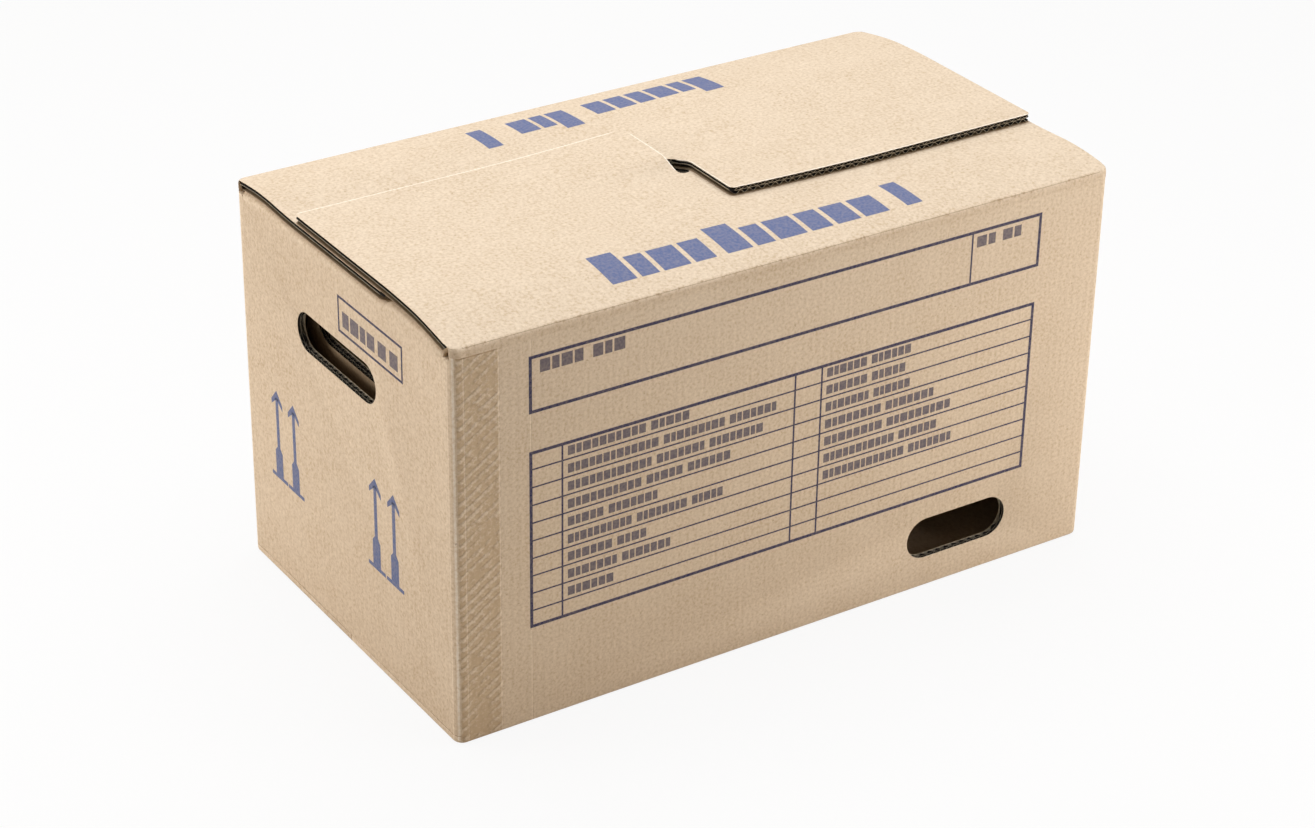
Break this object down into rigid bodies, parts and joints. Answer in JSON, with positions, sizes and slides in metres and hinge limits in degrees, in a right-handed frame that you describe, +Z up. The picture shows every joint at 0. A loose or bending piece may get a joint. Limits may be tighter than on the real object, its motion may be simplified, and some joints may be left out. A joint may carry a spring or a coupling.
{
  "type": "moving box",
  "caption": "Corrugated board moving box with interlocking top flaps, hand holes in all four walls and plain form lines.",
  "frame": {"origin": "centre of the bottom face, on the surface that the box stands on", "axes": "+X along the box's length, +Y from the front long wall to the rear one, +Z up"},
  "size_m": [0.574, 0.326, 0.334],
  "materials": {
    "kraft_body": "matt brown kraft liner on double-wall corrugated board",
    "kraft_flap": "matt brown kraft liner on double-wall corrugated board"
  },
  "bodies": {
    "carton": {"carton_body": "kraft_body"},
    "front_flap": {"front_flap": "kraft_flap"},
    "rear_flap": {"rear_flap": "kraft_flap"}
  },
  "joints": [
    {"name": "front_flap_crease", "type": "hinge", "parent": "carton", "child": "front_flap", "pos_m": [0, -0.163, 0.3208], "axis": [1, 0, 0], "range_deg": [0, 245], "deforming": ["front_flap"]},
    {"name": "rear_flap_crease", "type": "hinge", "parent": "carton", "child": "rear_flap", "pos_m": [0, 0.163, 0.3208], "axis": [-1, 0, 0], "range_deg": [0, 245], "deforming": ["rear_flap"]}
  ],
  "couplings": [
    {"joint": "rear_flap_crease", "follows": "front_flap_crease", "ratio": 1}
  ]
}
